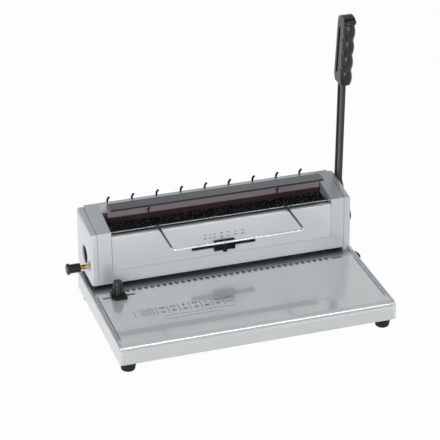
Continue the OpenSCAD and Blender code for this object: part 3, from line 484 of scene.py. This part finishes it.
def make_world():
    """White studio: bright towards the horizon, darker overhead, plain white behind the object."""
    world = bpy.data.worlds.new("studio")
    bpy.context.scene.world = world
    world.use_nodes = True
    tree = world.node_tree
    tree.nodes.clear()
    height = parts(tree, add(tree, "ShaderNodeTexCoord").outputs["Generated"])["Z"]
    glow = between(tree, height, (0.62, 0.64, 0.67), (0.30, 0.315, 0.33), 0.15, 0.8)
    soft = add(tree, "ShaderNodeBackground", inputs={"Color": glow, "Strength": 0.85})
    wall = between(tree, height, (1, 1, 1), (0.28, 0.29, 0.31), 0.20, 0.78)
    sheen = add(tree, "ShaderNodeBackground", inputs={"Color": wall, "Strength": 1.0})
    white = add(tree, "ShaderNodeBackground", inputs={"Color": WHITE, "Strength": 1.0})
    seen, glossy = ray_kinds(tree)
    mirrored = add(tree, "ShaderNodeMixShader", inputs={0: glossy, 1: soft.outputs[0], 2: sheen.outputs[0]})
    mix = add(tree, "ShaderNodeMixShader", inputs={0: seen, 1: mirrored.outputs[0], 2: white.outputs[0]})
    out = add(tree, "ShaderNodeOutputWorld")
    tree.links.new(mix.outputs[0], out.inputs["Surface"])


def make_floor():
    """Wide pale floor that turns to plain white for the camera and keeps a soft shadow."""
    white_share = 0.96
    mesh = bpy.data.meshes.new("floor")
    corners = [(x * FLOOR_HALF, y * FLOOR_HALF, 0) for x, y in ((-1, -1), (1, -1), (1, 1), (-1, 1))]
    mesh.from_pydata(corners, [], [(0, 1, 2, 3)])
    floor = link(bpy.data.objects.new("floor", mesh))
    made, tree, shader = new_material("floor", {"Roughness": 0.7})
    tint = between(tree, noise(tree, 3, 2), (0.86, 0.86, 0.86), (0.89, 0.89, 0.89))
    tree.links.new(tint, shader.inputs["Base Color"])
    white = add(tree, "ShaderNodeEmission", inputs={"Color": WHITE, "Strength": 1.0})
    shown = number(tree, "MAXIMUM", *ray_kinds(tree))
    share = number(tree, "MULTIPLY", shown, white_share)
    mix = add(tree, "ShaderNodeMixShader", inputs={0: share, 1: shader.outputs[0], 2: white.outputs[0]})
    tree.links.new(mix.outputs[0], tree.nodes["Material Output"].inputs["Surface"])
    mesh.materials.append(made)


def dress(names, material, bevel_mm=0.0):
    """Gives CAD nodes a material, even normals and, where asked, small rounded edges."""
    for name in names:
        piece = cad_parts[name]
        if not piece.material_slots:
            piece.data.materials.append(material)
        for slot in piece.material_slots:
            slot.material = material
        weld = piece.modifiers.new("weld", "WELD")
        weld.merge_threshold = WELD_GAP
        if bevel_mm:
            flat = piece.modifiers.new("flat", "DECIMATE")
            flat.decimate_type = "DISSOLVE"
            flat.angle_limit = FLAT_ANGLE
            bevel = piece.modifiers.new("edges", "BEVEL")
            bevel.width = bevel_mm * MM
            bevel.segments = 3
            bevel.limit_method = "ANGLE"
            bevel.angle_limit = BEVEL_ANGLE
            bevel.use_clamp_overlap = True
        split = piece.modifiers.new("split", "EDGE_SPLIT")
        split.split_angle = SPLIT_ANGLE
        split.use_edge_sharp = False
        even = piece.modifiers.new("even", "WEIGHTED_NORMAL")
        even.keep_sharp = False
        for face in piece.data.polygons:
            face.use_smooth = True


def new_piece(name, material, body):
    """Empty mesh object that rides on a body."""
    piece = link(bpy.data.objects.new(name, bpy.data.meshes.new(name)))
    piece.data.materials.append(material)
    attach(piece, body)
    return piece


def add_prism(form, outline, to_space, thick=INK_THICK):
    """Adds a thin prism over an outline of (u, v) points. to_space turns (u, v, w) into a place."""
    low = [form.verts.new(to_space(u, v, 0)) for u, v in outline]
    high = [form.verts.new(to_space(u, v, thick)) for u, v in outline]
    form.faces.new(high)
    form.faces.new(low[::-1])
    count = len(outline)
    for k in range(count):
        n = (k + 1) % count
        form.faces.new((low[k], low[n], high[n], high[k]))


def strip(u0, v0, u1, v1, wide):
    """Corners of a straight strip between two points."""
    run = Vector((u1 - u0, v1 - v0))
    side = Vector((-run.y, run.x)).normalized() * wide / 2
    return [(u0 - side.x, v0 - side.y), (u1 - side.x, v1 - side.y),
            (u1 + side.x, v1 + side.y), (u0 + side.x, v0 + side.y)]


def fill(piece, form):
    """Turns a finished form into the piece's mesh."""
    bmesh.ops.recalc_face_normals(form, faces=form.faces)
    form.to_mesh(piece.data)
    form.free()


def figures(form, words, size, bold, to_space):
    """Adds plain numbers to a form. words are (text, u, v) with u, v the middle of the text."""
    for text, u, v in words:
        curve = bpy.data.curves.new("figure", "FONT")
        curve.body = text
        curve.size = size
        curve.offset = bold
        curve.align_x = curve.align_y = "CENTER"
        curve.resolution_u = 3
        holder = link(bpy.data.objects.new("figure", curve))
        bpy.context.view_layer.update()
        flat = bpy.data.meshes.new_from_object(holder)
        first = len(form.verts)
        form.from_mesh(flat)
        form.verts.ensure_lookup_table()
        for vert in form.verts[first:]:
            vert.co = to_space(u + vert.co.x, v + vert.co.y, INK_THICK)
        bpy.data.objects.remove(holder)
        bpy.data.curves.remove(curve)
        bpy.data.meshes.remove(flat)


def on_deck(u, v, w):
    """u and v are X and Y in the row frame, w is the height over the deck."""
    return Vector((u, v, deck_hi.z + w))


def on_panel(u, v, w):
    """u is X, v is Z and w the distance out of the leaning front panel."""
    return Vector((u, panel_lo.y + (v - panel_lo.z) * PANEL_LEAN - w, v))


def on_cover(u, v, w):
    """u is X, v the distance behind the cheek's front edge and w the height over an end cover's top."""
    return Vector((u, CHEEK_FRONT + v, COVER_FOOT + v * COVER_SLOPE + w))


def make_marks(ink):
    """Row of hole marks in front of the throat: a dash with two short tails, one for each pin."""
    piece = new_piece("hole_marks", ink, "frame")
    form = bmesh.new()
    pitch = (pins_hi.x - pins_lo.x - PIN_WIDE) / (HOLE_COUNT - 1)
    row = BASE_FRONT + 154.5 * MM
    half, dash_wide = 2.8 * MM, 3.0 * MM
    top_out, top = 1.8 * MM, row - 1.6 * MM
    foot_out, foot = 0.8 * MM, row - 5.4 * MM
    tail_wide = 1.5 * MM
    for k in range(HOLE_COUNT):
        x = pins_lo.x + PIN_WIDE / 2 + k * pitch
        add_prism(form, strip(x - half, row, x + half, row, dash_wide), on_deck, MARK_THICK)
        for side in (-1, 1):
            tail = strip(x + side * top_out, top, x + side * foot_out, foot, tail_wide)
            add_prism(form, tail, on_deck, MARK_THICK)
    fill(piece, form)


def make_stop_mark(ink):
    """Grey dash to the right of the hole marks."""
    piece = new_piece("stop_mark", ink, "frame")
    form = bmesh.new()
    y = BASE_FRONT + 152.2 * MM
    left, right, wide = MIDDLE_X + 166 * MM, MIDDLE_X + 182 * MM, 5.2 * MM
    add_prism(form, strip(left, y, right, y, wide), on_deck)
    fill(piece, form)


def make_seams(ink):
    """Dark joints along the deck's two side channels."""
    piece = new_piece("side_seams", ink, "frame")
    form = bmesh.new()
    half = (deck_hi.x - deck_lo.x) / 2
    # Distance outside the deck's edge, front and back ends behind the base's front, and width, in mm
    seams = ((1.5, 22, 164, 1.0), (-2.7, 26, 150, 1.0), (1.5, 181, 224, 1.2), (-3.7, 181, 224, 1.0))
    for side in (-1, 1):
        for out, front, back, wide in seams:
            x = MIDDLE_X + side * (half + out * MM)
            seam = strip(x, BASE_FRONT + front * MM, x, BASE_FRONT + back * MM, wide * MM)
            add_prism(form, seam, on_deck)
    fill(piece, form)


def make_liner(paint):
    """Pale strips in the joint round the front panel."""
    piece = new_piece("panel_liner", paint, "frame")
    form = bmesh.new()
    gap, sunk = 0.4 * MM, 0.35 * MM
    left, right, level = panel_lo.x - gap, panel_hi.x + gap, panel_lo.z - gap
    low, high = panel_lo.z, panel_hi.z - 6 * MM
    for x0, z0, x1, z1, wide_mm in ((panel_lo.x, level, panel_hi.x, level, 0.45),
                                    (left, low, left, high, 0.3),
                                    (right, low, right, high, 0.5)):
        add_prism(form, strip(x0, z0, x1, z1, wide_mm * MM), lambda u, v, w: on_panel(u, v, w - sunk))
    fill(piece, form)


def make_cover_seams(ink):
    """Joints between the cheeks and the end covers, in front and on top."""
    piece = new_piece("cover_seams", ink, "frame")
    form = bmesh.new()
    sunk = 0.12 * MM
    low, high = housing_lo.z + 1 * MM, panel_hi.z + 7 * MM
    front, back = 1 * MM, 73 * MM
    front_wide, top_wide = 0.6 * MM, 1.0 * MM
    for x, side in ((housing_lo.x, -1), (housing_hi.x, 1)):
        add_prism(form, strip(x, low, x, high, front_wide), lambda u, v, w: on_panel(u, v, w - sunk))
        middle = x + side * top_wide / 2
        add_prism(form, strip(middle, front, middle, back, top_wide), on_cover)
    fill(piece, form)


def make_sheet_marks(ink):
    """Two small dark brackets that show through the smoked sheet."""
    piece = new_piece("sheet_marks", ink, "frame")
    form = bmesh.new()
    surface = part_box("smoked_panel")[0].y - 0.02 * MM
    apart = 101 * MM
    # Ends of each bracket's leg and bar from its foot, and their width, in mm
    bracket = ((0, 0, 1.5, 9, 3.0), (-3.5, 6.0, 3.5, 7.0, 1.6))
    for x in (MIDDLE_X - apart, MIDDLE_X + apart):
        for x0, z0, x1, z1, wide in bracket:
            bar = strip(x + x0 * MM, SHEET_TONE_Z + z0 * MM, x + x1 * MM, SHEET_TONE_Z + z1 * MM, wide * MM)
            add_prism(form, bar, lambda u, v, w: Vector((u, surface - w, v)))
    fill(piece, form)


def make_table(ink):
    """Ruled size table on the deck with plain numbers, and two rows of dashes in front of it."""
    piece = new_piece("size_table", ink, "frame")
    form = bmesh.new()
    left, first = MIDDLE_X - 162 * MM, MIDDLE_X - 129 * MM
    step, margin, rule_wide = 16.6 * MM, 5 * MM, 0.8 * MM
    near, far = BASE_FRONT + 74.5 * MM, BASE_FRONT + 95.5 * MM
    values = ("4.8", "6.4", "8", "9.5", "11", "12.7", "14.3")
    sheets = ("20", "35", "50", "65", "80", "95", "110")
    rules = [left] + [first + k * step for k in range(len(values) + 1)]
    for x in rules:
        add_prism(form, strip(x, near, x, far, rule_wide), on_deck)
    words = []
    for k, (value, sheet) in enumerate(zip(values, sheets)):
        middle = first + (k + 0.5) * step
        words += [(value, middle, far - margin), (sheet, middle, near + margin)]
    figures(form, words, 6.8 * MM, 0.2 * MM, on_deck)
    heading, lines, top, line_step = (left + first) / 2 + 1 * MM, 4, far - 3 * MM, 5 * MM
    words = [("1 2 3 4 5 6", heading, top - k * line_step) for k in range(lines)]
    figures(form, words, 5.0 * MM, 0.12 * MM, on_deck)
    # Rows of dashes: distance behind the base's front, and ends to the right of the middle, in mm
    dash_step, dash_wide = 4, 1.3 * MM
    for behind, start, end in ((67.5, -124, -14), (59.5, -124, -33)):
        y = BASE_FRONT + behind * MM
        for k in range(int((end - start) / dash_step)):
            x = MIDDLE_X + (start + dash_step * k) * MM
            long = (1.6 + 1.6 * ((k * 7) % 5) / 5) * MM
            add_prism(form, strip(x, y, x + long, y, dash_wide), on_deck)
    fill(piece, form)


def make_scale(ink):
    """Plain sizes over the size slider, in millimetres and in inches."""
    piece = new_piece("slider_scale", ink, "frame")
    form = bmesh.new()
    level = (slider_lo.z + slider_hi.z) / 2
    # Place to the right of the middle in mm, size in mm and size in inches
    sizes = ((-28.2, "4.8", "3/16"), (-20.7, "6.4", "1/4"), (-13.7, "7.9", "5/16"), (-2.7, "9.5", "3/8"),
             (8.3, "11.1", "7/16"), (18.8, "12.7", "1/2"), (30.3, "14.3", "9/16"))
    lower = [(metric, MIDDLE_X + x * MM, level + 13.5 * MM) for x, metric, inch in sizes]
    figures(form, lower, 3.7 * MM, 0.1 * MM, on_panel)
    upper = [(inch, MIDDLE_X + x * MM, level + 19 * MM) for x, metric, inch in sizes]
    figures(form, upper, 2.3 * MM, 0.12 * MM, on_panel)
    fill(piece, form)


def dress_painted(silver):
    """Paints the sheet metal."""
    # Painted shade: the housing paint darkens towards the right end
    housing = silver_paint("housing paint", shades=[("X", MIDDLE_X + 120 * MM, MIDDLE_X + 180 * MM, 0.86)])
    # Painted shade: the front panel's flat top darkens towards its back edge, under the rod
    panel = silver_paint("panel paint", shades=[("Y", panel_hi.y - 6.5 * MM, panel_hi.y - 0.8 * MM, 0.02)])
    # Painted shadow: the left spacer under the overhanging cover is painted black
    spacer = silver_paint("spacer paint", shades=[("X", MIDDLE_X, MIDDLE_X - 10 * MM, 0.02)])
    # Painted shade: the deck's front roll and apron are darker below the deck top
    roll_shade = ("Z", deck_hi.z - 1 * MM, deck_hi.z - 7 * MM, 0.70)
    # Painted shadow: the deck darkens towards the throat under the housing
    throat_shade = ("Y", BASE_FRONT + 149 * MM, BASE_FRONT + 169 * MM, 0.14)
    lacquer = silver_paint("deck lacquer", colour=(0.69, 0.73, 0.73), rough=0.18, coat=1.0, coat_rough=0.02,
                           coat_ior=1.85, metal=0.35, peel_mm=0.001, shades=[roll_shade, throat_shade])
    # Painted shade: the cover paint turns black deep in the hole round the shaft cap
    mouth = (cap_lo + cap_hi) / 2
    mouth.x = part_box("end_cover_left")[0].x
    cover = silver_paint("cover paint", hole=(mouth, CAP_RADIUS + 3 * MM))
    dress(["base_side_left", "base_side_right"], silver, 0.5)
    dress(["housing_shell", "end_cover_right", "rear_cover", "wire_hook_rail"], housing)
    dress(["end_cover_left"], cover)
    dress(["front_panel"], panel)
    dress(["housing_spacers"], spacer, 0.5)
    dress(["base_deck"], lacquer)
    dress(["lever_arm", "lever_hub"], black_paint(), 0.6)
    dress(["lower_jaw"], wrinkle_black(), 0.4)
    dress(["upper_jaw"], edged_grey())


def dress_plastic():
    """Gives the plastic and rubber pieces their materials."""
    plastic = moulded_plastic("black plastic", (0.007, 0.008, 0.009), rough=0.24, shine=0.22)
    grip = moulded_plastic("grip plastic", (0.014, 0.015, 0.016), rough=0.3, shine=0.14, depth=0.1, coat=0.4)
    dress(["size_slider", "edge_guide", "tray_pull", "hub_cap"], plastic, 0.4)
    dress(["slider_keeper", "chip_tray"], plastic)
    dress(["lever_grip"], grip, 0.8)
    # Painted highlights on the ridges of both knobs
    dress(["guide_knob"],
          ridged_plastic("fluted plastic", flutes_of_guide_knob, (0.045, 0.047, 0.05)), 0.2)
    dress(["depth_knob"],
          ridged_plastic("ribbed plastic", ribs_of_depth_knob, (0.020, 0.021, 0.023)), 0.2)
    dress(["shaft_cap"], cap_plastic())
    dress(["smoked_panel"], smoked_plastic())
    dress(["rubber_feet"], rubber())


def dress_bare_metal():
    """Gives the plated, ground and turned pieces their materials."""
    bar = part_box("paper_support")[0].y
    dress(["wire_hooks"], two_tone_hooks())
    # Painted shade: the hinge rod's chrome is much darker than the wire's, for the dark recess round it
    dress(["hinge_rod"], chrome("rod chrome", (0.30, 0.31, 0.32)))
    # Painted reflection: the support's legs are darkened behind the front bar for the dark recess they
    # mirror
    dress(["paper_support", "support_sleeves"],
          chrome("wire chrome", (0.88, 0.875, 0.87), (bar + 4 * MM, bar + 10 * MM, 0.22)))
    dress(["brass_collar", "shaft_bushes", "jaw_guides"], turned_brass())
    dress(["base_bottom", "foot_screws", "tray_runners", "side_frame_left", "side_frame_right",
           "frame_screws", "tie_rod", "cover_screws", "jaw_screws", "pin_guide_plate", "die_plate",
           "die_screws", "gauge_rails", "drive_shaft", "punch_pinions", "closing_pinions", "punch_bar",
           "punch_racks", "punch_pins", "jaw_carrier", "guide_clamp", "depth_shaft", "depth_cams",
           "back_gauge", "punch_springs"], ground_steel())


def main():
    """Sets up the studio, dresses the CAD nodes and adds the print and thin trim."""
    bpy.context.scene.view_settings.view_transform = "Standard"
    make_camera()
    make_world()
    make_floor()
    for lamp in LAMPS:
        make_lamp(*lamp)
    silver = silver_paint("silver paint")
    dress_painted(silver)
    dress_plastic()
    dress_bare_metal()
    dark_ink = print_ink("dark ink", (0.03, 0.032, 0.034))
    grey_ink = print_ink("grey ink", (0.14, 0.16, 0.17))
    make_marks(dark_ink)
    make_seams(grey_ink)
    make_liner(silver)
    make_stop_mark(grey_ink)
    make_cover_seams(grey_ink)
    make_sheet_marks(dark_ink)
    make_table(print_ink("table ink", (0.11, 0.125, 0.13)))
    make_scale(print_ink("scale ink", (0.06, 0.065, 0.07)))


main()
